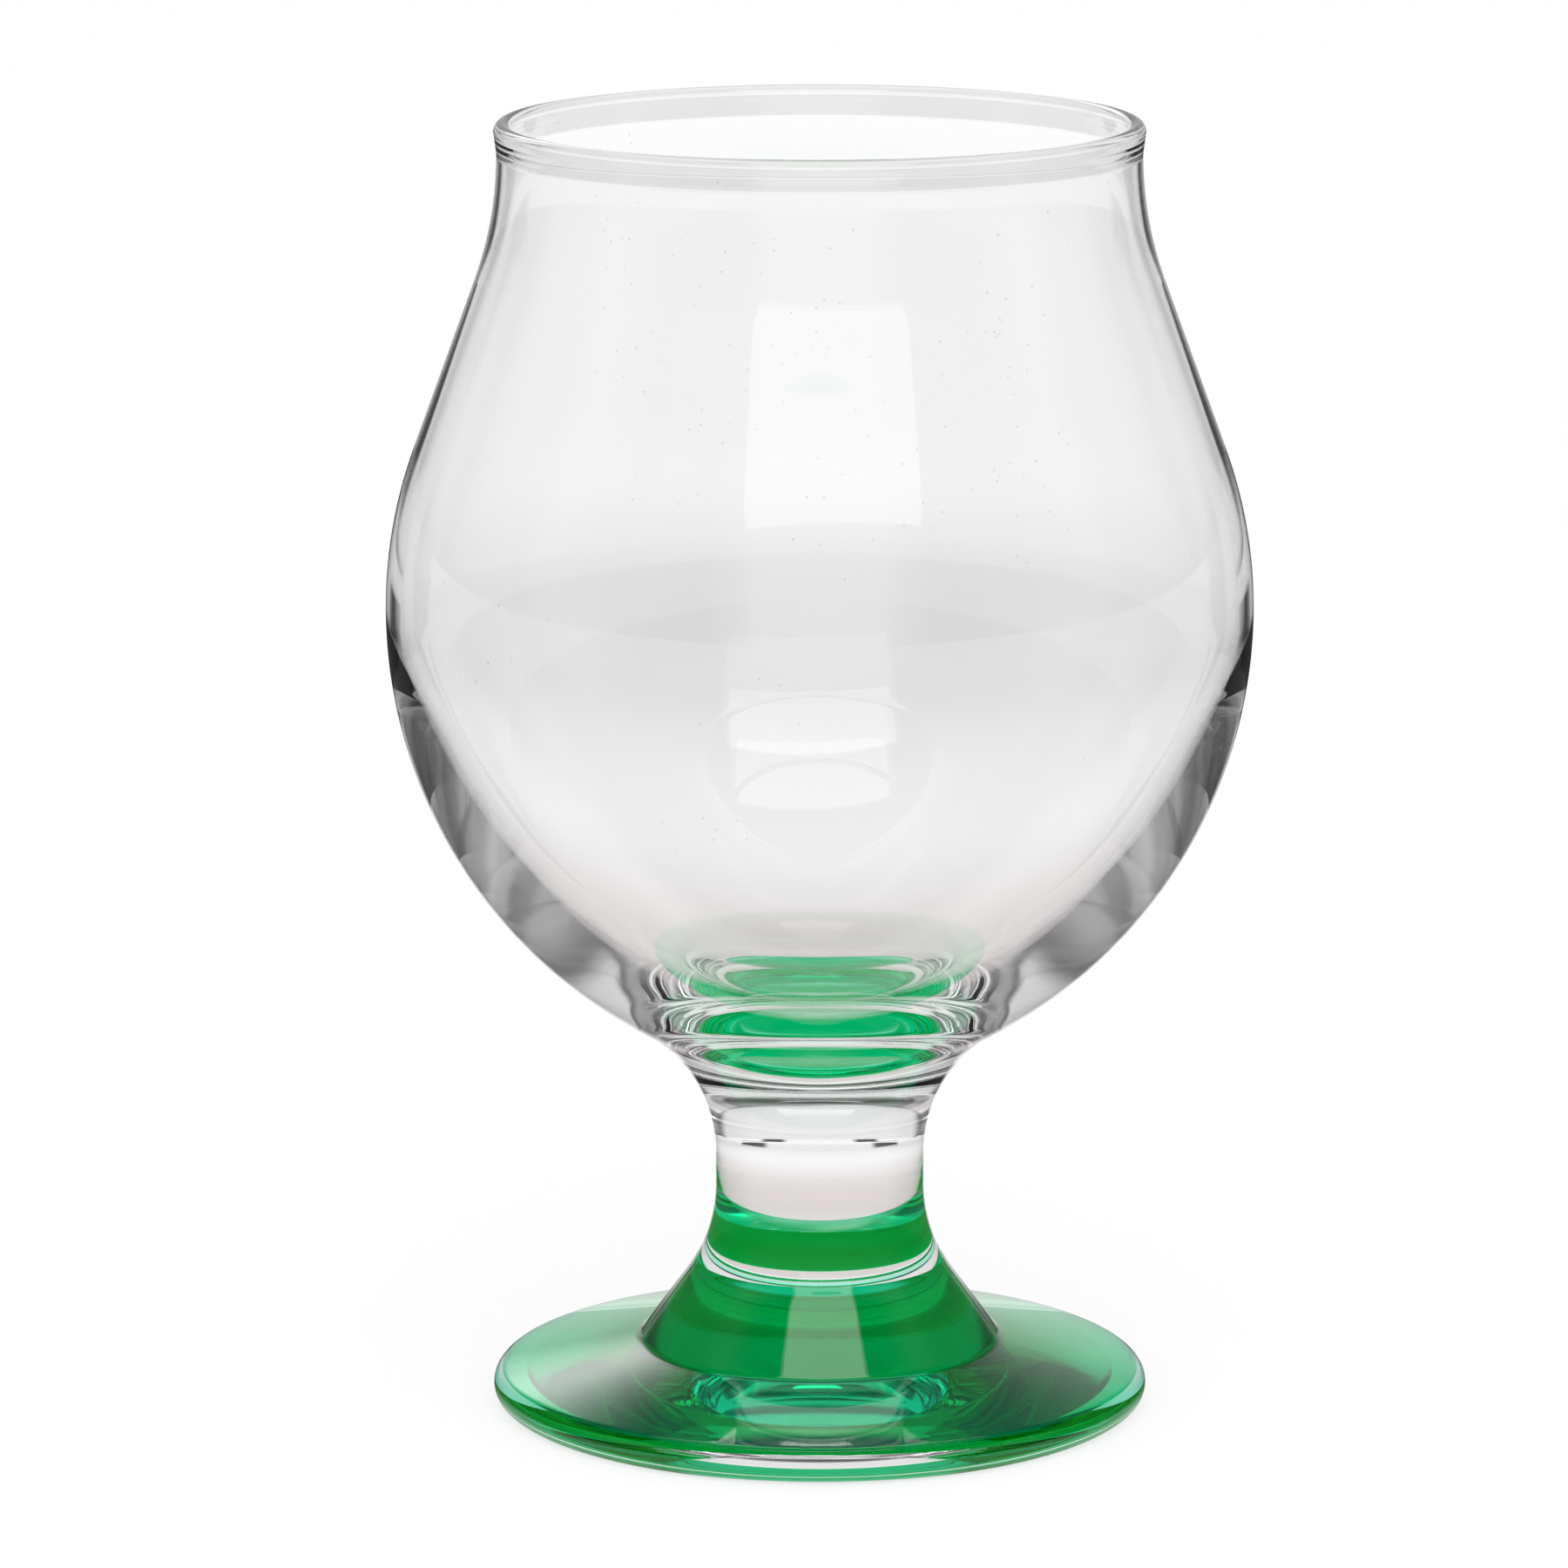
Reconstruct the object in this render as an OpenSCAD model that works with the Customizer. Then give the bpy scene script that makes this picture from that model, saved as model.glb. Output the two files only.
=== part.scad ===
// Tulip beer glass on a short stem, with a translucent colour coat on its foot.
// Every piece is a body of revolution about Z. The glass stands on z = 0.

/* [Rim] */
// Height from the table to the top of the rim
glass_h = 147.9; // [135:0.1:165]
// Radius of the fire-polished bead in cross section
bead_r = 1.0; // [0.7:0.05:1.4]
// How far the bead stands out from the neck
bead_proud = 0.3; // [0:0.05:0.8]

/* [Bowl outside] */
// Outside radius of the neck, just below the bead
neck_r = 36.3; // [33:0.1:40]
// Drop from the top of the rim to the narrowest ring of the neck
neck_drop = 3.4; // [2.6:0.1:6]
// Outside radius of the belly at its widest ring
belly_r = 49.15; // [45:0.05:55]
// Height of the widest ring
belly_z = 92.5; // [84:0.1:100]
// Straight run between the shoulder arc and the neck arc
taper_run = 20.6; // [10:0.1:28]
// How many times wider the shoulder arc is than the neck arc
shoulder_ratio = 1.27; // [0.7:0.01:1.8]
// Radius of the arc that opens the stem out into the bowl
cup_arc = 17.8; // [12:0.1:24]

/* [Bowl inside] */
// Wall thickness at the neck
neck_wall = 1.1; // [0.8:0.05:2]
// Wall thickness at the belly
belly_wall = 1.0; // [0.8:0.05:1.8]
// Thickness of the solid bottom on the axis, above the ring where the stem is fused on
bottom_t = 11.7; // [10:0.1:15]
// How far the inside wall keeps heading straight down below the belly
wall_pull = 10.5; // [8:0.1:13]
// How far inwards from the belly the handle lies that leans the inside wall in
lean_reach = 4.6; // [3:0.1:6]
// How far below the belly that handle lies
lean_drop = 18.5; // [15:0.1:23]
// How far inwards from the belly the handle lies that turns the inside wall to the floor
turn_reach = 10.6; // [8:0.1:13]
// How far above the floor that handle lies
turn_rise = 3.4; // [2:0.1:6]
// How far the inside floor keeps heading level from the axis
floor_pull = 3.4; // [2:0.1:6]

/* [Stem] */
// Radius of the stem at its waist
waist_r = 11.95; // [9:0.05:15]
// Height of the lower end of the straight waist
waist_low = 25.4; // [23:0.1:28]
// Length of the straight waist
waist_len = 3.5; // [1:0.1:6]
// Rise from the waist to the ring where the bowl is fused on
seam_rise = 3.1; // [2:0.1:6]
// Radius of the arc that opens the stem out towards the foot
flare_arc = 18.3; // [15:0.1:20]
// Angle of the flare's cone from the vertical
flare_angle = 36; // [30:0.5:42]

/* [Foot] */
// Outside radius of the foot
foot_r = 37.6; // [33:0.1:43]
// Radius of the rounded edge of the foot
edge_r = 2.05; // [1.5:0.05:2.6]
// Fall of the foot's top towards its edge, in degrees
foot_fall = 12; // [8:0.5:14]
// Radius of the fillet where the foot's top meets the flare
crease_r = 1.5; // [0.8:0.1:3]
// Height of the shallow hollow under the foot
hollow_h = 1.6; // [0.8:0.1:2.4]
// Width of the flat ring that the glass stands on
rest_w = 2.5; // [1.5:0.1:5]

/* [Colour coat] */
// Thickness of the coat
coat_t = 0.15; // [0.08:0.01:0.3]
// Height on the stem where the coat stops
coat_top = 16.6; // [12:0.1:20]
// Angle on the foot's rounded edge where the coat stops, up from the horizontal
coat_edge = 58; // [30:1:70]

/* [Hidden] */
$fn = 96;

clear_tint = [0.86, 0.90, 0.90, 0.4];
coat_tint = [0.0, 0.62, 0.34, 0.7];

// Points on a curve's long stretches, its short stretches, the bowl's floor and the bead
long_steps = 20;
short_steps = 8;
floor_steps = 28;
bead_steps = 14;

neck_z = glass_h - neck_drop;
waist_top = waist_low + waist_len;
seam_z = waist_top + seam_rise;
floor_z = seam_z + bottom_t;
hollow_r = foot_r - edge_r - rest_w;

// A list of evenly spaced values, with or without the one that it starts from
function spread(from, to, steps, first = 0) =
    [for (i = [first : steps]) from + (to - from) * i / steps];

// A point at an angle on an arc, and an arc as a list of points
function on_arc(c, r, a) = c + r * [cos(a), sin(a)];
function arc(c, r, from, to, steps, first = 0) =
    [for (a = spread(from, to, steps, first)) on_arc(c, r, a)];

// Two arcs with a straight run between them, upright at both ends:
// how far they turn, and their two radii added together
function sway_turn(low, high, run) =
    2 * atan(abs(high.x - low.x) / (high.y - low.y + run));
function sway_radii(low, high, run) =
    (high.y - low.y - run * cos(sway_turn(low, high, run))) / sin(sway_turn(low, high, run));

// The lower arc and the upper arc of a wall that leans out going up
function lean_out_low(low, high, r, from) =
    arc(low + [r, 0], r, 180 - from, 180 - sway_turn(low, high, 0), short_steps);
function lean_out_high(low, high, r) =
    let (r_high = sway_radii(low, high, 0) - r)
    arc(high - [r_high, 0], r_high, -sway_turn(low, high, 0), 0, long_steps, 1);

// The whole of a wall that leans in going up, without the ring that it starts from
function lean_in(low, high, run) =
    let (
        turn = sway_turn(low, high, run),
        r_high = sway_radii(low, high, run) / (1 + shoulder_ratio),
        r_low = shoulder_ratio * r_high
    )
    concat(
        arc(low - [r_low, 0], r_low, 0, turn, long_steps, 1),
        arc(high + [r_high, 0], r_high, 180 + turn, 180, long_steps)
    );

// A point on the smooth curve that a list of handles draws: neighbours are blended until one is left
function on_curve(handles, t) =
    len(handles) == 1 ? handles[0] : on_curve(
        [for (i = [0 : len(handles) - 2]) (1 - t) * handles[i] + t * handles[i + 1]],
        t
    );
function curve(handles, steps) = [for (t = spread(0, 1, steps)) on_curve(handles, t)];

function reversed(points) = [for (i = [len(points) - 1 : -1 : 0]) points[i]];

// Bowl: main rings of the outside and the inside, and the rim bead
waist = [waist_r, waist_top];
belly = [belly_r, belly_z];
neck = [neck_r, neck_z];
belly_in = belly - [belly_wall, 0];
neck_in = neck - [neck_wall, 0];
bead = [neck_r + bead_proud - bead_r, glass_h - bead_r];
seam_turn = asin(seam_rise / cup_arc);

// Direction from a neck ring to the bead, and half the angle that the bead takes up from there
function bead_way(ring) = atan2(bead.y - ring.y, bead.x - ring.x);
function bead_half(ring) = asin(bead_r / norm(bead - ring));

module bowl() {
    outside = concat(
        lean_out_low(waist, belly, cup_arc, seam_turn),
        lean_out_high(waist, belly, cup_arc),
        lean_in(belly, neck, taper_run)
    );
    rim = arc(
        bead, bead_r,
        bead_way(neck) - bead_half(neck) - 90,
        bead_way(neck_in) + bead_half(neck_in) + 90,
        bead_steps
    );
    floor_handles = [
        belly_in,
        belly_in - [0, wall_pull],
        belly_in - [lean_reach, lean_drop],
        [belly_in.x - turn_reach, floor_z + turn_rise],
        [floor_pull, floor_z],
        [0, floor_z]
    ];
    inside = concat(
        reversed(lean_in(belly_in, neck_in, taper_run)),
        curve(floor_handles, floor_steps)
    );
    color(clear_tint)
    rotate_extrude()
    polygon(concat([[0, seam_z]], outside, rim, inside));
}

// Stem: the flare is an arc at the waist that runs out into a cone
function flare_turn(z) = min(flare_angle, asin(min(1, (waist_low - z) / flare_arc)));
function flare_out(z) = [cos(flare_turn(z)), sin(flare_turn(z))];
function flare_point(z) =
    let (
        turn = flare_turn(z),
        arc_end = on_arc([waist_r + flare_arc, waist_low], flare_arc, 180 + turn)
    )
    [arc_end.x + (arc_end.y - z) * tan(turn), z];

// Foot: the rounded edge, the sloping top and the fillet below the flare
edge = [foot_r - edge_r, edge_r];
top_out = [sin(foot_fall), cos(foot_fall)];
top_start = edge + edge_r * top_out;
cone_start = flare_point(waist_low - flare_arc * sin(flare_angle));
crease_x = (cone_start.x + tan(flare_angle)
    * (cone_start.y - top_start.y - top_start.x * tan(foot_fall)))
    / (1 - tan(flare_angle) * tan(foot_fall));
crease = [crease_x, top_start.y + (top_start.x - crease_x) * tan(foot_fall)];
crease_turn = 90 - flare_angle - foot_fall;
crease_run = crease_r * tan(crease_turn / 2);
fillet_c = crease + crease_run * [cos(foot_fall), -sin(foot_fall)] + crease_r * top_out;
joint = crease + crease_run * [-sin(flare_angle), cos(flare_angle)];

// Angles along the coated part of the edge and along the fillet
edge_angles = spread(coat_edge, 90 - foot_fall, short_steps);
fillet_angles = spread(-90 - foot_fall, -180 + flare_angle, short_steps);

// Heights along the coated part of the flare and along the bare part above it
coated_heights = spread(joint.y, coat_top, short_steps, 1);
bare_heights = spread(coat_top, waist_low, short_steps, 1);

module stem() {
    flare = [for (z = concat(coated_heights, bare_heights)) flare_point(z)];
    cup = arc(waist + [cup_arc, 0], cup_arc, 180, 180 - seam_turn, short_steps);
    color(clear_tint)
    rotate_extrude()
    polygon(concat([[0, joint.y], joint], flare, cup, [[0, seam_z]]));
}

module foot() {
    hollow_arc = (hollow_r * hollow_r + hollow_h * hollow_h) / (2 * hollow_h);
    hollow_end = 90 - asin(hollow_r / hollow_arc);
    hollow = arc([0, hollow_h - hollow_arc], hollow_arc, 90, hollow_end, short_steps);
    bare_edge = arc(edge, edge_r, -90, coat_edge, short_steps);
    coated_edge = [for (a = spread(coat_edge, 90 - foot_fall, short_steps, 1)) on_arc(edge, edge_r, a)];
    fillet = [for (a = fillet_angles) on_arc(fillet_c, crease_r, a)];
    color(clear_tint)
    rotate_extrude()
    polygon(concat(hollow, bare_edge, coated_edge, fillet, [[0, joint.y]]));
}

// The coat follows the edge, the top, the fillet and the flare, lifted by a given thickness
function coat_face(lift) = concat(
    [for (a = edge_angles) on_arc(edge, edge_r + lift, a)],
    [for (a = fillet_angles) on_arc(fillet_c, crease_r - lift, a)],
    [for (z = coated_heights) flare_point(z) + lift * flare_out(z)]
);

module colour_coat() {
    color(coat_tint)
    rotate_extrude()
    polygon(concat(coat_face(0), reversed(coat_face(coat_t))));
}

bowl();
stem();
foot();
colour_coat();
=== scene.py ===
import math

import bpy
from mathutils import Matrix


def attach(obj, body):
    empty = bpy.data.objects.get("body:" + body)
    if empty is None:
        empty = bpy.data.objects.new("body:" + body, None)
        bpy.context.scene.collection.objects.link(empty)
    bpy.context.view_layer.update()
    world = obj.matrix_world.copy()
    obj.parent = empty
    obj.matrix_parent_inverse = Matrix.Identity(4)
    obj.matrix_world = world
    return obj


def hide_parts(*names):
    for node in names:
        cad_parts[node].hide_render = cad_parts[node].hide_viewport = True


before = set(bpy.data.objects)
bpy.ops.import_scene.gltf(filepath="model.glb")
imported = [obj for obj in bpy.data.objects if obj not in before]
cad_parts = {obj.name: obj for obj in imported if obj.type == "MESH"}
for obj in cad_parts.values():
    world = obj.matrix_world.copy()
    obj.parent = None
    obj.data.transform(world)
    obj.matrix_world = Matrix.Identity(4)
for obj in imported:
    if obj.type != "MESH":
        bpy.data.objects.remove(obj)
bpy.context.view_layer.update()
scene = bpy.context.scene
mm = 0.001  # sizes are written in millimetres, the frame is in metres
print("frame:", ", ".join(sorted(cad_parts)))


# Node trees: one class for sockets and their maths, one for adding nodes

class Value:
    def __init__(self, graph, socket):
        self.graph = graph
        self.socket = socket

    def calc(self, operation, *others):
        sockets = dict(enumerate([self, *others]))
        return self.graph.node("ShaderNodeMath", {"operation": operation}, sockets)

    def other(self, name):  # another output of the same node
        return Value(self.graph, self.socket.node.outputs[name])

    def __add__(self, value):
        return self.calc("ADD", value)

    def __radd__(self, value):
        return self.calc("ADD", value)

    def __sub__(self, value):
        return self.calc("SUBTRACT", value)

    def __rsub__(self, value):
        return self.graph.node("ShaderNodeMath", {"operation": "SUBTRACT"}, {0: value, 1: self})

    def __mul__(self, value):
        return self.calc("MULTIPLY", value)

    def __truediv__(self, value):
        return self.calc("DIVIDE", value)

    def __gt__(self, value):
        return self.calc("GREATER_THAN", value)

    def ramp(self, low, high, fromValue=0, toValue=1):  # eased change between two limits
        return self.graph.node(
            "ShaderNodeMapRange",
            {"interpolation_type": "SMOOTHSTEP"},
            {"Value": self, "From Min": low, "From Max": high, "To Min": fromValue, "To Max": toValue},
        )


class Graph:
    def __init__(self, tree):
        self.tree = tree

    def node(self, kind, settings=None, sockets=None, out=0):
        made = self.tree.nodes.new(kind)
        for name, value in (settings or {}).items():
            setattr(made, name, value)
        for key, value in (sockets or {}).items():
            if isinstance(value, Value):
                self.tree.links.new(value.socket, made.inputs[key])
            else:
                made.inputs[key].default_value = value
        return Value(self, made.outputs[out]) if made.outputs else made

    def noise(self, spot, scale, detail=3.0):
        return self.node("ShaderNodeTexNoise", None, {"Vector": spot, "Scale": scale, "Detail": detail})

    def mixColour(self, share, first, second):
        sockets = {"Factor": share, 6: first, 7: second}
        return self.node("ShaderNodeMix", {"data_type": "RGBA"}, sockets, 2)

    def stops(self, value, tones):  # a smooth run of grey tones along a value from 0 to 1
        ramp = self.node("ShaderNodeValToRGB", None, {"Fac": value})
        scale = ramp.socket.node.color_ramp
        scale.interpolation = "EASE"
        while len(scale.elements) < len(tones):
            scale.elements.new(1.0)
        for element, (at, tone) in zip(scale.elements, tones):
            element.position = at
            element.color = (tone, tone, tone, 1)
        return ramp

    def split(self, vector):
        parts = self.node("ShaderNodeSeparateXYZ", None, {0: vector})
        return parts, parts.other("Y"), parts.other("Z")

    def rayKinds(self):  # rays from the camera, through glass, and mirrored by glass
        path = self.node("ShaderNodeLightPath")
        through = path.other("Is Transmission Ray")
        return path.other("Is Camera Ray"), through, path.other("Is Glossy Ray") * (1 - through)


def newMaterial(name):
    material = bpy.data.materials.new(name)
    material.use_nodes = True
    material.node_tree.nodes.clear()
    return material, Graph(material.node_tree)


# Camera, matched to the outline of the glass in the picture

cameraSizes = {
    "distance": 900.0,  # in front of the axis
    "height": 255.24,
    "pitch": 11.504,  # degrees below the horizon
    "focalPixels": 9257.3,
    "axisColumn": 941.0,  # where the axis stands in the picture
    "pictureWidth": 1800.0,
    "sensor": 36.0,
    "clipStart": 10.0,
}


def makeCamera(c):
    data = bpy.data.cameras.new("camera")
    data.sensor_width = c["sensor"]
    data.lens = c["focalPixels"] * c["sensor"] / c["pictureWidth"]
    data.shift_x = 0.5 - c["axisColumn"] / c["pictureWidth"]
    data.clip_start = c["clipStart"] * mm
    camera = bpy.data.objects.new("camera", data)
    camera.location = (0, -c["distance"] * mm, c["height"] * mm)
    camera.rotation_euler = (math.radians(90 - c["pitch"]), 0, 0)
    scene.collection.objects.link(camera)
    scene.camera = camera


makeCamera(cameraSizes)
print("camera set")


# Angles in degrees, and sizes brought to metres

def cosd(angle):
    return math.cos(math.radians(angle))


def sind(angle):
    return math.sin(math.radians(angle))


def sines(angles):
    return [sind(angle) for angle in angles]


def scaled(sizes):
    return [size * mm for size in sizes]


# Profiles: points of radius and height in millimetres, from the axis below to the axis above

def spread(start, end, steps):
    return [start + (end - start) * i / steps for i in range(steps + 1)]


def arc(centre, radius, start, end, steps):
    return [
        (centre[0] + radius * cosd(a), centre[1] + radius * sind(a))
        for a in spread(start, end, steps)
    ]


def between(a, b, t):
    return a[0] + (b[0] - a[0]) * t, a[1] + (b[1] - a[1]) * t


def line(start, end, steps):
    return [between(start, end, t) for t in spread(0, 1, steps)]


def bezier(handles, steps):
    points = []
    for t in spread(0, 1, steps):
        row = handles
        while len(row) > 1:
            row = [between(a, b, t) for a, b in zip(row, row[1:])]
        points.append(row[0])
    return points


samePoint = 1e-4


def joined(*runs):  # one list without the points that two runs share
    points = []
    for run in runs:
        for point in run:
            if not points or math.dist(points[-1], point) > samePoint:
                points.append(point)
    return points


def sway(low, high, run):  # two arcs and a straight run, upright at both ends: turn and both radii added
    rise = high[1] - low[1]
    turn = 2 * math.degrees(math.atan(abs(high[0] - low[0]) / (rise + run)))
    return turn, (rise - run * cosd(turn)) / sind(turn)


bowlSizes = {
    "glassH": 147.9,
    "beadR": 1.0,
    "beadProud": 0.3,
    "neckR": 36.3,
    "neckDrop": 3.4,
    "bellyR": 49.15,
    "bellyZ": 92.5,
    "taperRun": 20.6,
    "shoulderRatio": 1.27,
    "cupArc": 17.8,
    "neckWall": 1.1,
    "bellyWall": 1.0,
    "bottomT": 11.7,
    "wallPull": 10.5,  # handles of the inside curve
    "leanReach": 4.6,
    "leanDrop": 18.5,
    "turnReach": 10.6,
    "turnRise": 3.4,
    "floorPull": 3.4,
}
bowlSteps = {"cup": 34, "rise": 60, "arc": 26, "run": 14, "bead": 28, "floor": 120}
stemSizes = {
    "waistR": 11.95,
    "waistLow": 25.4,
    "waistLen": 3.5,
    "seamRise": 3.1,
    "flareArc": 18.3,
    "flareAngle": 36.0,
}
stemSteps = {"coated": 40, "bare": 36, "cup": 14}
footSizes = {
    "footR": 37.6,
    "edgeR": 2.05,
    "footFall": 12.0,
    "creaseR": 1.5,
    "hollowH": 1.6,
    "restW": 2.5,
}
footSteps = {"hollow": 40, "ring": 4, "bare": 36, "edge": 10, "top": 30, "fillet": 20}
coatSizes = {
    "film": 0.03,  # real thickness of the sprayed film
    "lift": 0.01,  # keeps the film's inner face off the glass
    "feather": 0.5,  # length over which the film thins out at its two ends
    "coatTop": 16.6,
    "coatEdge": 58.0,
}

waistTop = stemSizes["waistLow"] + stemSizes["waistLen"]
seamZ = waistTop + stemSizes["seamRise"]
seamTurn = math.degrees(math.asin(stemSizes["seamRise"] / bowlSizes["cupArc"]))


def leanIn(low, high, run, ratio, n):
    turn, radii = sway(low, high, run)
    upper = radii / (1 + ratio)
    lower = radii - upper
    first = arc((low[0] - lower, low[1]), lower, 0, turn, n["arc"])
    last = arc((high[0] + upper, high[1]), upper, 180 + turn, 180, n["arc"])
    return joined(first, line(first[-1], last[0], n["run"]), last)


def bowlProfile(b, s, n):
    waist = (s["waistR"], waistTop)
    belly = (b["bellyR"], b["bellyZ"])
    neck = (b["neckR"], b["glassH"] - b["neckDrop"])
    turn, radii = sway(waist, belly, 0)
    rise = radii - b["cupArc"]
    cup = arc((waist[0] + b["cupArc"], waist[1]), b["cupArc"], 180 - seamTurn, 180 - turn, n["cup"])
    rising = arc((belly[0] - rise, belly[1]), rise, -turn, 0, n["rise"])
    outside = joined(cup, rising, leanIn(belly, neck, b["taperRun"], b["shoulderRatio"], n))
    bellyIn = (belly[0] - b["bellyWall"], belly[1])
    neckIn = (neck[0] - b["neckWall"], neck[1])
    bead = (b["neckR"] + b["beadProud"] - b["beadR"], b["glassH"] - b["beadR"])

    def touch(ring, side):  # angle at which a line from a neck ring touches the bead
        way = math.degrees(math.atan2(bead[1] - ring[1], bead[0] - ring[0]))
        return way + side * (math.degrees(math.asin(b["beadR"] / math.dist(bead, ring))) + 90)

    rim = arc(bead, b["beadR"], touch(neck, -1), touch(neckIn, 1), n["bead"])
    falling = leanIn(bellyIn, neckIn, b["taperRun"], b["shoulderRatio"], n)[::-1]
    floorZ = seamZ + b["bottomT"]
    inside = bezier([
        bellyIn,
        (bellyIn[0], bellyIn[1] - b["wallPull"]),
        (bellyIn[0] - b["leanReach"], bellyIn[1] - b["leanDrop"]),
        (bellyIn[0] - b["turnReach"], floorZ + b["turnRise"]),
        (b["floorPull"], floorZ),
        (0, floorZ),
    ], n["floor"])
    points = joined([(0, seamZ)], outside, rim, falling, inside)
    return points, [i < 1 for i in range(len(points))]


def flareTurn(s, z):
    return min(s["flareAngle"], math.degrees(math.asin(min(1, (s["waistLow"] - z) / s["flareArc"]))))


def flarePoint(s, z):
    turn = flareTurn(s, z)
    r = s["waistR"] + s["flareArc"] * (1 - cosd(turn))
    return r + (s["waistLow"] - s["flareArc"] * sind(turn) - z) * math.tan(math.radians(turn)), z


def creasePlaces(s, f):  # centres of the edge and the fillet, and the ring where the stem meets the foot
    fall, angle = f["footFall"], s["flareAngle"]
    edge = (f["footR"] - f["edgeR"], f["edgeR"])
    top = (edge[0] + f["edgeR"] * sind(fall), edge[1] + f["edgeR"] * cosd(fall))
    cone = flarePoint(s, s["waistLow"] - s["flareArc"] * sind(angle))
    slope, lean = math.tan(math.radians(fall)), math.tan(math.radians(angle))
    x = (cone[0] + lean * (cone[1] - top[1] - top[0] * slope)) / (1 - lean * slope)
    z = top[1] + (top[0] - x) * slope
    run = f["creaseR"] * math.tan(math.radians((90 - angle - fall) / 2))
    centre = (
        x + run * cosd(fall) + f["creaseR"] * sind(fall),
        z - run * sind(fall) + f["creaseR"] * cosd(fall),
    )
    return edge, centre, (x - run * sind(angle), z + run * cosd(angle))


edgeCentre, filletCentre, jointRing = creasePlaces(stemSizes, footSizes)


def coatedFlare(s, c, n):
    return [flarePoint(s, z) for z in spread(jointRing[1], c["coatTop"], n["coated"])]


def stemProfile(s, b, c, n):
    coated = coatedFlare(s, c, n)
    bare = [flarePoint(s, z) for z in spread(c["coatTop"], s["waistLow"], n["bare"])]
    cup = arc((s["waistR"] + b["cupArc"], waistTop), b["cupArc"], 180, 180 - seamTurn, n["cup"])
    points = joined([(0, jointRing[1])], coated, bare, cup, [(0, seamZ)])
    top = len(points) - 2
    return points, [i < len(coated) or i == top for i in range(len(points))]


def coatedFoot(s, f, c, n):
    fall = f["footFall"]
    edge = arc(edgeCentre, f["edgeR"], c["coatEdge"], 90 - fall, n["edge"])
    fillet = arc(filletCentre, f["creaseR"], -90 - fall, -180 + s["flareAngle"], n["fillet"])
    return joined(edge, line(edge[-1], fillet[0], n["top"]), fillet)


def footProfile(s, f, c, n):
    hollowR = edgeCentre[0] - f["restW"]
    hollowArc = (hollowR ** 2 + f["hollowH"] ** 2) / (2 * f["hollowH"])
    reach = math.degrees(math.asin(hollowR / hollowArc))
    hollow = arc((0, f["hollowH"] - hollowArc), hollowArc, 90, 90 - reach, n["hollow"])
    bare = arc(edgeCentre, f["edgeR"], -90, c["coatEdge"], n["bare"])
    points = joined(hollow, line(hollow[-1], bare[0], n["ring"]), bare)
    start = len(points) - 1
    points = joined(points, coatedFoot(s, f, c, n), [(0, jointRing[1])])
    return points, [i >= start for i in range(len(points))]


def coatProfile(s, f, c, footN, stemN):
    under = joined(coatedFoot(s, f, c, footN), coatedFlare(s, c, stemN))
    along = [0.0]
    for a, b in zip(under, under[1:]):
        along.append(along[-1] + math.dist(a, b))
    inner, outer = [], []
    for i, (r, z) in enumerate(under):
        a, b = under[max(i - 1, 0)], under[min(i + 1, len(under) - 1)]
        length = math.dist(a, b)
        out = ((b[1] - a[1]) / length, (a[0] - b[0]) / length)
        ends = min(along[i], along[-1] - along[i], c["feather"]) / c["feather"]
        film = c["lift"] + c["film"] * math.sin(ends * math.pi / 2)
        inner.append((r + c["lift"] * out[0], z + c["lift"] * out[1]))
        outer.append((r + film * out[0], z + film * out[1]))
    points = joined(outer, inner[::-1], outer[:1])
    return points, [i >= len(outer) - 1 for i in range(len(points))]


# Lathe: a Geometry Nodes tree that turns a profile's points about the axis

latheSizes = {"segments": 256, "sharpAngle": 50.0, "merge": 0.001}


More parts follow.
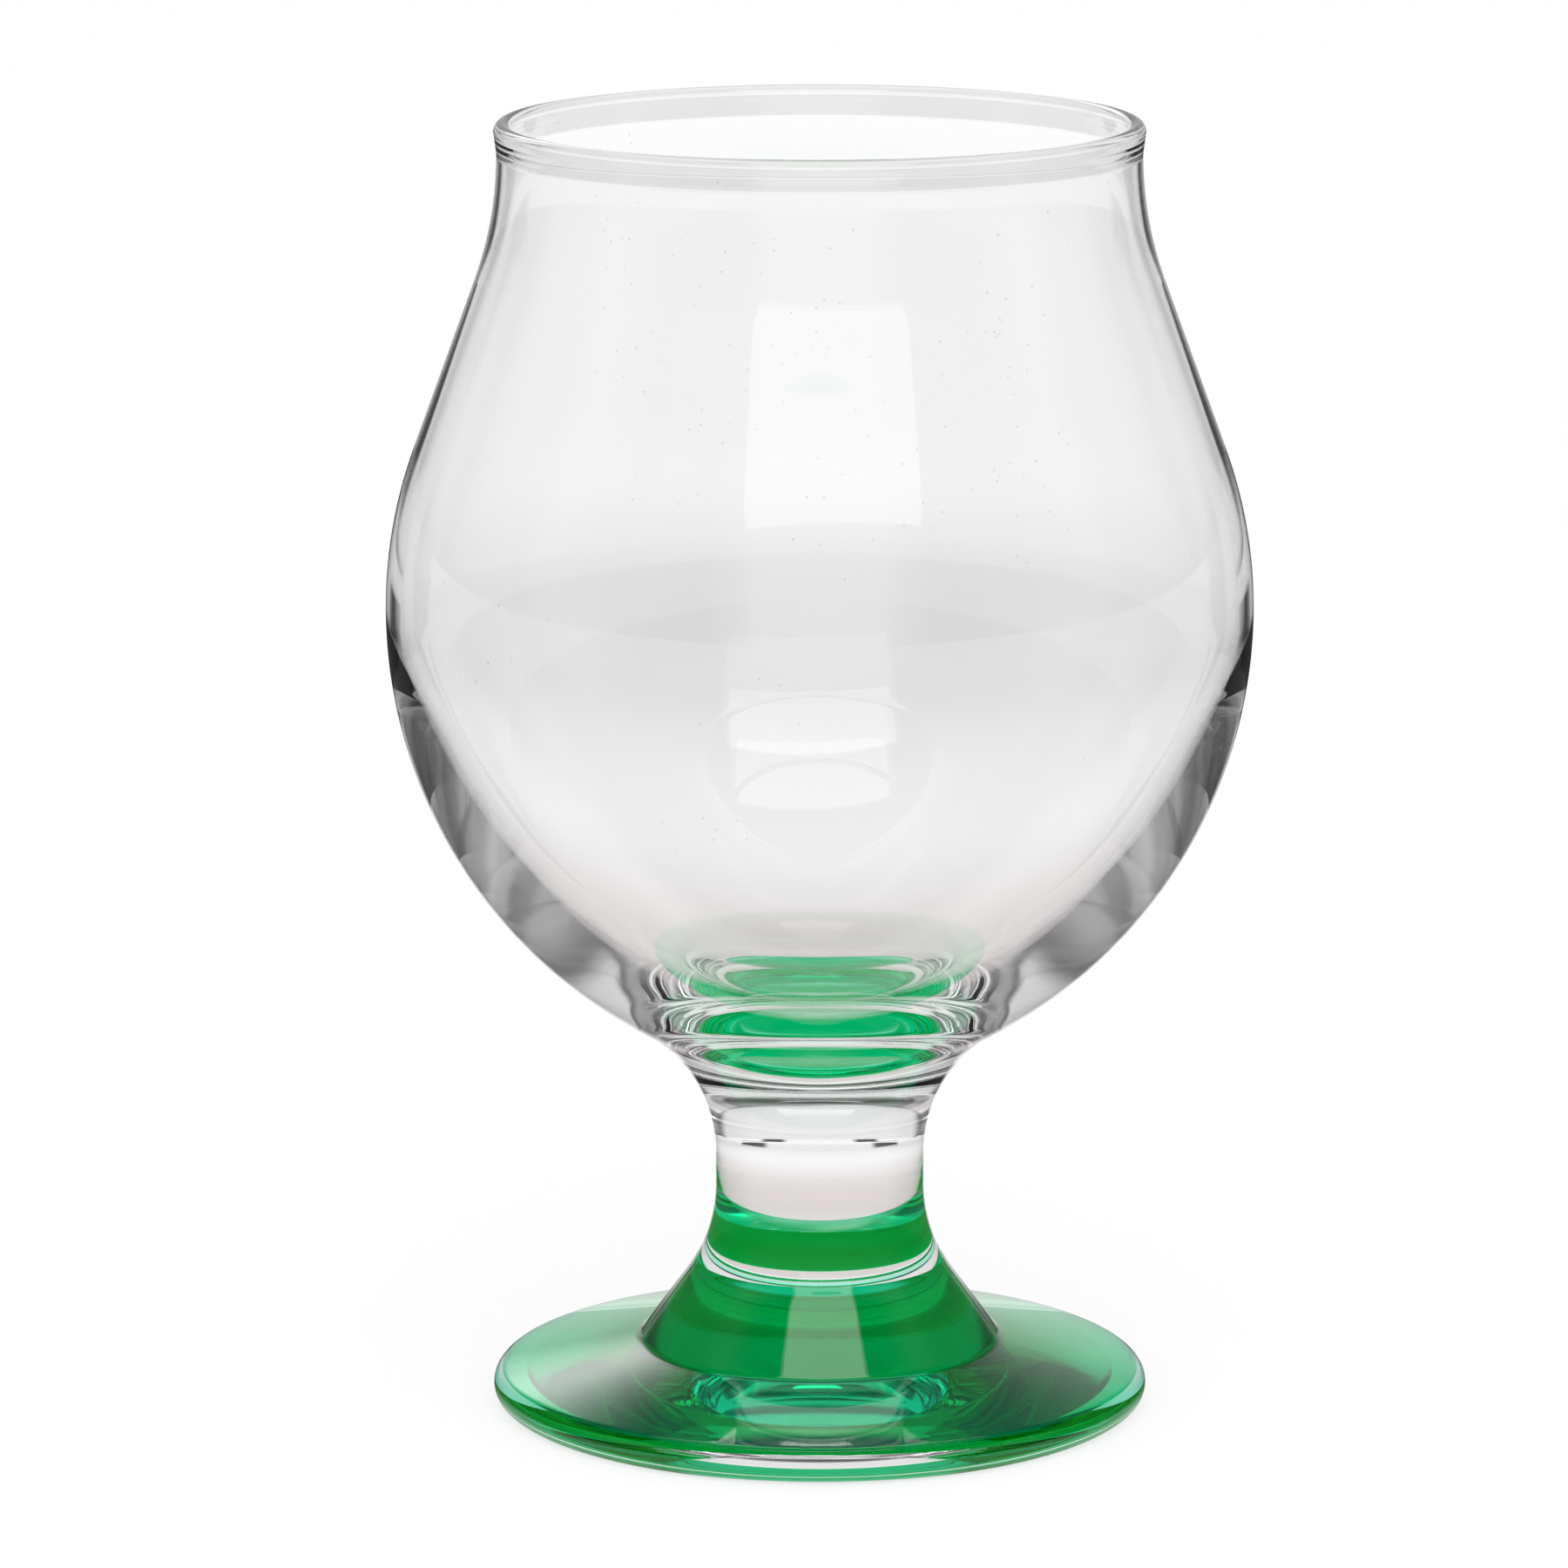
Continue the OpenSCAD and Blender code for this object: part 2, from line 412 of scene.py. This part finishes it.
def makeLathe(sizes):
    tree = bpy.data.node_groups.new("latheTree", "GeometryNodeTree")
    for name, kind in (
        ("Profile", "NodeSocketGeometry"),
        ("Segments", "NodeSocketInt"),
        ("Sharp Angle", "NodeSocketFloat"),
        ("Finish", "NodeSocketMaterial"),
        ("Bonded Finish", "NodeSocketMaterial"),
    ):
        tree.interface.new_socket(name, in_out="INPUT", socket_type=kind)
    tree.interface.new_socket("Piece", in_out="OUTPUT", socket_type="NodeSocketGeometry")
    g = Graph(tree)
    profile = g.node("NodeGroupInput")
    segments, sharp = profile.other("Segments"), profile.other("Sharp Angle")
    columns = segments + 1
    rings = g.node("GeometryNodeAttributeDomainSize", None, {"Geometry": profile})
    grid = g.node("GeometryNodeMeshGrid", None, {"Vertices X": rings, "Vertices Y": columns})
    index = g.node("GeometryNodeInputIndex")
    ring = (index / columns).calc("FLOOR")
    turn = (ring * columns - index) * (2 * math.pi) / segments
    position = g.node("GeometryNodeInputPosition")
    sampled = g.node(
        "GeometryNodeSampleIndex",
        {"data_type": "FLOAT_VECTOR", "domain": "POINT"},
        {"Geometry": profile, "Value": position, "Index": ring},
    )
    r, _, z = g.split(sampled)
    x, y = r * turn.calc("COSINE"), r * turn.calc("SINE")
    spot = g.node("ShaderNodeCombineXYZ", None, {0: x, 1: y, 2: z})
    shell = g.node("GeometryNodeSetPosition", None, {"Geometry": grid, "Position": spot})
    flag = g.node("GeometryNodeInputNamedAttribute", {"data_type": "FLOAT"}, {"Name": "bonded"})
    faceFlag = g.node(
        "GeometryNodeSampleIndex",
        {"data_type": "FLOAT", "domain": "POINT"},
        {"Geometry": profile, "Value": flag, "Index": (index / segments).calc("FLOOR")},
    )
    shell = g.node(
        "GeometryNodeStoreNamedAttribute",
        {"data_type": "FLOAT", "domain": "FACE"},
        {"Geometry": shell, "Name": "bonded", "Value": faceFlag},
    )
    merge = {"Geometry": shell, "Distance": sizes["merge"] * mm}
    shell = g.node("GeometryNodeMergeByDistance", None, merge)
    smooth = {"Geometry": shell, "Shade Smooth": True}
    shell = g.node("GeometryNodeSetShadeSmooth", {"domain": "FACE"}, smooth)
    angle = g.node("GeometryNodeInputMeshEdgeAngle")
    shell = g.node(
        "GeometryNodeSetShadeSmooth",
        {"domain": "EDGE"},
        {"Geometry": shell, "Selection": angle > sharp, "Shade Smooth": False},
    )
    shell = g.node("GeometryNodeRealizeInstances", None, {"Geometry": shell})
    finish = {"Geometry": shell, "Material": profile.other("Finish")}
    shell = g.node("GeometryNodeSetMaterial", None, finish)
    bonded = g.node("GeometryNodeInputNamedAttribute", {"data_type": "FLOAT"}, {"Name": "bonded"})
    shell = g.node(
        "GeometryNodeSetMaterial",
        None,
        {"Geometry": shell, "Selection": bonded > 0.5, "Material": profile.other("Bonded Finish")},
    )
    g.node("NodeGroupOutput", None, {"Piece": shell})
    return tree


latheTree = makeLathe(latheSizes)


def turned(name, profile, finish, bondedFinish):
    points, bonded = profile
    outline = bpy.data.meshes.new(name + "Outline")
    outline.from_pydata([(r * mm, 0, z * mm) for r, z in points], [], [])
    flags = outline.attributes.new("bonded", "FLOAT", "POINT")
    flags.data.foreach_set("value", [float(b) for b in bonded])
    holder = bpy.data.objects.new(name + "Outline", outline)
    scene.collection.objects.link(holder)
    modifier = holder.modifiers.new("lathe", "NODES")
    modifier.node_group = latheTree
    inputs = {
        "Segments": latheSizes["segments"],
        "Sharp Angle": math.radians(latheSizes["sharpAngle"]),
        "Finish": finish,
        "Bonded Finish": bondedFinish,
    }
    for item in latheTree.interface.items_tree:
        if item.name in inputs:
            modifier[item.identifier] = inputs[item.name]
    shown = holder.evaluated_get(bpy.context.evaluated_depsgraph_get())
    mesh = bpy.data.meshes.new_from_object(shown)
    mesh.name = name
    bpy.data.objects.remove(holder)
    bpy.data.meshes.remove(outline)
    piece = bpy.data.objects.new(name, mesh)
    scene.collection.objects.link(piece)
    return piece


# Finishes

glassLook = {
    "clear": (0.985, 0.99, 0.988, 1),
    "cloudy": (0.97, 0.975, 0.973, 1),
    "dust": (0.4, 0.41, 0.4, 1),
    "ior": 1.52,
    "cloudScale": 40.0,
    "smearScale": 160.0,
    "smearDetail": 4.0,
    "smear": (0.6, 0.9),  # noise values where a smear begins and is full
    "smearRough": 0.03,
    "dustScale": 420.0,
    "dustSize": (0.05, 0.1),  # in shares of a cell
    "dusty": (0.5, 0.62),  # cloud values where dust begins and is full
    "dustShare": 0.5,
}
jointLook = {
    "seed": (0.5, 0.5, 0.5, 1),  # tiny bubbles in the fused joint
    "seedScale": 300.0,
    "seedSize": (0.04, 0.08),
    "seedShare": 0.3,
}
coatLook = {
    "film": (0.008, 0.52, 0.26, 1),
    "filmDeep": (0.004, 0.45, 0.20, 1),
    "filmFoot": (0.012, 0.72, 0.46, 1),  # paler spray towards the edge of the foot
    "footRing": (22.0, 34.0),  # radii over which it pales
    "filmScale": 90.0,
    "tint": (0.02, 0.86, 0.53, 1),  # the film's inner face
    "tintDeep": (0.015, 0.8, 0.45, 1),
    "tintScale": 120.0,
    "tintCloud": (0.35, 0.65),
    "spokes": 40.0,  # streaks that run outwards: how close they lie, and how they change on the way
    "along": 60.0,
    "streakDetail": 2.0,
    "streak": (0.4, 0.8),  # noise values where a streak begins and is full
    "rough": 0.01,
    "streakRough": 0.05,
    "bump": 0.12,
    "bumpDepth": 0.02,
    "ior": 1.52,
    "clearness": 0.9,
    "gloss": 0.5,
}


def makeClearGlass(a):
    material, g = newMaterial("clearGlass")
    spot = g.node("ShaderNodeTexCoord", None, None, "Object")
    cloud = g.noise(spot, a["cloudScale"])
    smear = g.noise(spot, a["smearScale"], a["smearDetail"])
    cell = g.node("ShaderNodeTexVoronoi", None, {"Vector": spot, "Scale": a["dustScale"]})
    dust = cell.ramp(*a["dustSize"], 1, 0) * cloud.ramp(*a["dusty"])
    tint = g.mixColour(cloud, a["clear"], a["cloudy"])
    shine = g.node("ShaderNodeBsdfPrincipled", None, {
        "Base Color": g.mixColour(dust * a["dustShare"], tint, a["dust"]),
        "Roughness": smear.ramp(*a["smear"]) * a["smearRough"],
        "IOR": a["ior"],
        "Transmission Weight": 1.0,
    })
    g.node("ShaderNodeOutputMaterial", None, {"Surface": shine})
    return material


def makeFusedJoint(a):
    material, g = newMaterial("fusedJoint")
    spot = g.node("ShaderNodeTexCoord", None, None, "Object")
    cell = g.node("ShaderNodeTexVoronoi", None, {"Vector": spot, "Scale": a["seedScale"]})
    clear = g.node("ShaderNodeBsdfTransparent")
    seed = g.node("ShaderNodeBsdfTransparent", None, {"Color": a["seed"]})
    share = cell.ramp(*a["seedSize"], a["seedShare"], 0)
    both = g.node("ShaderNodeMixShader", None, {0: share, 1: clear, 2: seed})
    g.node("ShaderNodeOutputMaterial", None, {"Surface": both})
    return material


def makeGreenCoat(a):
    material, g = newMaterial("greenCoat")
    spot = g.node("ShaderNodeTexCoord", None, None, "Object")
    x, y, _ = g.split(spot)
    r = (x * x + y * y).calc("SQRT")
    spokes = {0: x / r * a["spokes"], 1: y / r * a["spokes"], 2: r * a["along"]}
    streaks = g.noise(g.node("ShaderNodeCombineXYZ", None, spokes), 1.0, a["streakDetail"])
    height = {"Strength": a["bump"], "Distance": a["bumpDepth"] * mm, "Height": streaks}
    film = g.mixColour(g.noise(spot, a["filmScale"]), a["film"], a["filmDeep"])
    shine = g.node("ShaderNodeBsdfPrincipled", None, {
        "Base Color": g.mixColour(r.ramp(*scaled(a["footRing"])), film, a["filmFoot"]),
        "Roughness": a["rough"] + streaks.ramp(*a["streak"]) * a["streakRough"],
        "Normal": g.node("ShaderNodeBump", None, height),
        "IOR": a["ior"],
        "Transmission Weight": a["clearness"],
        "Coat Weight": a["gloss"],
    })
    g.node("ShaderNodeOutputMaterial", None, {"Surface": shine})
    return material


def makeCoatTint(a):
    material, g = newMaterial("coatTint")
    spot = g.node("ShaderNodeTexCoord", None, None, "Object")
    cloud = g.noise(spot, a["tintScale"])
    thin = g.node("ShaderNodeBsdfTransparent", None, {"Color": a["tint"]})
    deep = g.node("ShaderNodeBsdfTransparent", None, {"Color": a["tintDeep"]})
    both = g.node("ShaderNodeMixShader", None, {0: cloud.ramp(*a["tintCloud"]), 1: thin, 2: deep})
    g.node("ShaderNodeOutputMaterial", None, {"Surface": both})
    return material


clearGlass =makeClearGlass(glassLook)
fusedJoint = makeFusedJoint(jointLook)
greenCoat = makeGreenCoat(coatLook)
coatTint = makeCoatTint(coatLook)
print("finishes made")


# Pieces

def place(piece, node):
    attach(piece, "root")
    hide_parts(node)
    print(piece.name, "has", len(piece.data.polygons), "faces")


bowlOutline = bowlProfile(bowlSizes, stemSizes, bowlSteps)
stemOutline = stemProfile(stemSizes, bowlSizes, coatSizes, stemSteps)
footOutline = footProfile(stemSizes, footSizes, coatSizes, footSteps)
coatOutline = coatProfile(stemSizes, footSizes, coatSizes, footSteps, stemSteps)
place(turned("glassBowl", bowlOutline, clearGlass, fusedJoint), "bowl")
place(turned("glassStem", stemOutline, clearGlass, fusedJoint), "stem")
place(turned("glassFoot", footOutline, clearGlass, fusedJoint), "foot")
place(turned("footCoat", coatOutline, greenCoat, coatTint), "colour_coat")


# Studio: two softboxes above the camera and a pale table under a white sky.
# Glass sees a backdrop, a room and screens instead, which draw its edges.
# Bearings are degrees either way from straight behind the glass.

studio = {
    "back": (48.0, 60.0),  # bearings where the backdrop fades out
    "backTop": (34.0, 44.0),  # its upper edge, in degrees above the table
    "backLevel": 0.84,
    "room": [  # tones of the room beside and in front, by bearing
        (60, 0.2), (75, 0.4), (80, 0.42), (86, 0.28), (92, 0.24), (97, 0.48),
        (103, 0.58), (110, 0.4), (117, 0.32), (123, 0.13), (128, 0.07), (132, 0.13),
        (137, 0.045), (147, 0.045), (156, 0.3), (164, 0.8), (180, 0.85),
    ],
    "roomTop": (24.0, 36.0),  # where those tones give way to the ceiling's
    "front": (80.0, 110.0),  # bearings where the front half begins
    "ceiling": 0.3,  # in the front half
    "glow": (2.0, 32.0),  # how the room brightens upwards where glass mirrors it, and darkens again
    "glowEnd": (36.0, 50.0),
    "panel": (14.0, 32.0),  # the part of the backdrop that the glass mirrors
    "panelTop": (20.0, 36.0),
    "panelLeft": 2.2,  # level of its left and right ends, and how far round they lie
    "panelRight": 0.4,
    "panelTurn": 9.0,
    "panelLow": 0.62,  # level of its foot, and the rise where the ends take over
    "panelRise": (10.0, 26.0),
    "dim": 0.06,  # level of the dark screens at the sides
    "ambient": 0.8,  # light that the table gets from all round
}
tableSizes = {
    "side": 8000.0,
    "paintedPool": (33.0, 37.0),  # where the painted green light under the foot ends
    "paintedPoolDepth": (-27.0, 2.0),  # how that painted light pales from front to back, and from the middle out
    "paintedPoolRing": (19.0, 29.0),
    "paintedContactShadow": (60.0, 170.0),  # where the painted warm-grey shadow around the foot ends
    "near": (260.0, 420.0),  # where the painted shade of the screens begins on the table
    "shade": (19.0, 23.0),  # bearings between which it is painted
    "shadeEnd": (34.0, 37.0),
    "gap": (610.0, 640.0),  # lit strip across the shade
    "gapEnd": (780.0, 830.0),
    "far": (820.0, 950.0),  # distance beyond which the shade has other bearings
    "farShade": (11.0, 15.0),
    "farShadeEnd": (21.0, 25.0),
    "mirrorShade": (8.0, 12.0),  # where painted shade begins as glass mirrors it, far off and near
    "mirrorNear": (16.0, 27.0),
    "mirrorDark": 0.94,
    "front": (220.0, 600.0),  # how the table in front is painted darker where glass mirrors it
    "grey": (110.0, 300.0),  # faint painted shadow of the backdrop's curve
    "greyEnd": (420.0, 700.0),
    "greyShare": 0.16,
}
tableColours = {
    # painted green pool of light under the foot, deep at the front and paler at the back
    "paintedPool": (0.0, 0.46, 0.15, 1),
    "paintedPoolFar": (0.3, 0.85, 0.66, 1),
    # painted warm-grey shadow around the foot
    "paintedContactShadow": (0.76, 0.70, 0.70, 1),
    "lit": (1, 1, 1, 1),
    "dark": (0, 0, 0, 1),
    "surface": (0.3, 0.3, 0.3, 1),
}
tableGlow = 0.755  # what the camera sees before the light that falls on the table


def bearingOf(x, y):
    return x.calc("ARCTAN2", y).calc("ABSOLUTE") * (180 / math.pi)


# The table is evenly bright to the camera; what glass sees of it carries painted shade, a painted shadow
# and a painted green pool of light
def makeTable(t, c, s):
    half = t["side"] * mm / 2
    corners = [(-half, -half, 0), (half, -half, 0), (half, half, 0), (-half, half, 0)]
    mesh = bpy.data.meshes.new("table")
    mesh.from_pydata(corners, [], [(0, 1, 2, 3)])
    table = bpy.data.objects.new("table", mesh)
    scene.collection.objects.link(table)
    material, g = newMaterial("paleTable")
    spot = g.node("ShaderNodeTexCoord", None, None, "Object")
    x, y, _ = g.split(spot)
    reach = g.node("ShaderNodeVectorMath", {"operation": "LENGTH"}, {0: spot}, "Value")
    bearing = bearingOf(x, y)
    camera, through, mirrored = g.rayKinds()

    # Painted shade of the screens, as seen through glass and as mirrored by it
    gap = reach.ramp(*scaled(t["gap"])) * reach.ramp(*scaled(t["gapEnd"]), 1, 0)
    beyond = reach.ramp(*scaled(t["far"]))
    farShade = bearing.ramp(*t["farShade"]) * bearing.ramp(*t["farShadeEnd"], 1, 0)
    shade = bearing.ramp(*t["shade"]) * (1 - gap) * (1 - beyond) + farShade * beyond
    shade = shade.calc("MAXIMUM", bearing.ramp(*t["mirrorShade"]) * mirrored)
    shade = reach.ramp(*scaled(t["near"])) * shade * bearing.ramp(*t["shadeEnd"], 1, 0)
    front = bearing.ramp(*s["front"])
    dark = bearing.ramp(*t["mirrorNear"]) * (1 - front) + front * reach.ramp(*scaled(t["front"]))
    shade = shade.calc("MAXIMUM", dark * mirrored * t["mirrorDark"])
    # painted faint shadow ring of the backdrop's curve
    grey = reach.ramp(*scaled(t["grey"])) * reach.ramp(*scaled(t["greyEnd"]), 1, 0)
    level = (1 - shade * (1 - s["dim"])) * (1 - grey * t["greyShare"])

    # Painted warm-grey shadow around the foot, and painted green pool of light under it
    colour = g.mixColour(reach.ramp(*scaled(t["paintedContactShadow"])), c["paintedContactShadow"], c["lit"])
    pale = y.ramp(*scaled(t["paintedPoolDepth"])) * reach.ramp(*scaled(t["paintedPoolRing"]))
    paintedPool = g.mixColour(pale, c["paintedPool"], c["paintedPoolFar"])
    colour = g.mixColour(reach.ramp(*scaled(t["paintedPool"])), paintedPool, colour)
    seen = g.node("ShaderNodeEmission", None, {"Color": g.mixColour(level, c["dark"], colour)})

    glow = g.node("ShaderNodeEmission", None, {"Strength": tableGlow})
    surface = g.node("ShaderNodeBsdfDiffuse", None, {"Color": c["surface"]})
    shown = g.node("ShaderNodeAddShader", None, {0: glow, 1: surface})
    glass = (through + mirrored) * (1 - camera)
    both = g.node("ShaderNodeMixShader", None, {0: glass, 1: shown, 2: seen})
    g.node("ShaderNodeOutputMaterial", None, {"Surface": both})
    mesh.materials.append(material)


def makeWorld(s):
    world = bpy.data.worlds.new("studio")
    scene.world = world
    world.use_nodes = True
    world.node_tree.nodes.clear()
    g = Graph(world.node_tree)
    x, y, z = g.split(g.node("ShaderNodeTexCoord", None, None, "Generated"))
    bearing = bearingOf(x, y)
    camera, through, mirrored = g.rayKinds()

    # Through glass: the backdrop, the room and its ceiling
    back = bearing.ramp(*s["back"], 1, 0) * z.ramp(*sines(s["backTop"]), 1, 0)
    room = g.stops(bearing / 180, [(angle / 180, tone) for angle, tone in s["room"]])
    ceiling = s["dim"] + bearing.ramp(*s["front"]) * (s["ceiling"] - s["dim"])
    room = room + z.ramp(*sines(s["roomTop"])) * (ceiling - room)
    seen = room + back * (s["backLevel"] - room)

    # Mirrored by glass: the panel and the glow of the room
    panel = bearing.ramp(*s["panel"], 1, 0) * z.ramp(*sines(s["panelTop"]), 1, 0)
    turn = sind(s["panelTurn"])
    ends = x.ramp(-turn, turn, s["panelLeft"], s["panelRight"])
    ends = s["panelLow"] + z.ramp(*sines(s["panelRise"])) * (ends - s["panelLow"])
    glow = s["dim"] + z.ramp(*sines(s["glow"])) * (ceiling - s["dim"])
    glow = glow * z.ramp(*sines(s["glowEnd"]), 1, 0)

    level = through * seen + mirrored * (glow + panel * (ends - glow))
    level = camera + level + (1 - camera - through - mirrored) * s["ambient"]
    grey = g.node("ShaderNodeCombineColor", None, {0: level, 1: level, 2: level})
    sky = g.node("ShaderNodeBackground", None, {"Color": grey})
    g.node("ShaderNodeOutputWorld", None, {"Surface": sky})


softboxSizes = {
    "width": 680.0,
    "depth": 540.0,
    "distance": 850.0,
    "bearing": 4.0,  # degrees to the right of the camera
    "rise": 51.0,  # degrees above the table
    "level": 0.8,  # radiance
}
keySizes = {
    "width": 620.0,
    "depth": 300.0,
    "distance": 840.0,
    "bearing": 4.0,
    "rise": 58.0,
    "level": 1.4,
}


def makeSoftbox(name, b):
    data = bpy.data.lights.new(name, "AREA")
    data.shape = "RECTANGLE"
    data.size, data.size_y = b["width"] * mm, b["depth"] * mm
    data.energy = b["level"] * math.pi * data.size * data.size_y
    lamp = bpy.data.objects.new(name, data)
    out, up = b["distance"] * mm * cosd(b["rise"]), b["distance"] * mm * sind(b["rise"])
    lamp.location = (out * sind(b["bearing"]), -out * cosd(b["bearing"]), up)
    lamp.rotation_euler = (math.radians(90 - b["rise"]), 0, math.radians(b["bearing"]))
    lamp.visible_camera = False
    scene.collection.objects.link(lamp)


makeTable(tableSizes, tableColours, studio)
makeWorld(studio)
makeSoftbox("softbox", softboxSizes)
makeSoftbox("key", keySizes)
print("studio set")

scene.view_settings.view_transform = "Standard"
scene.cycles.max_bounces = 32
scene.cycles.transmission_bounces = 32
scene.cycles.glossy_bounces = 24
scene.cycles.transparent_max_bounces = 48
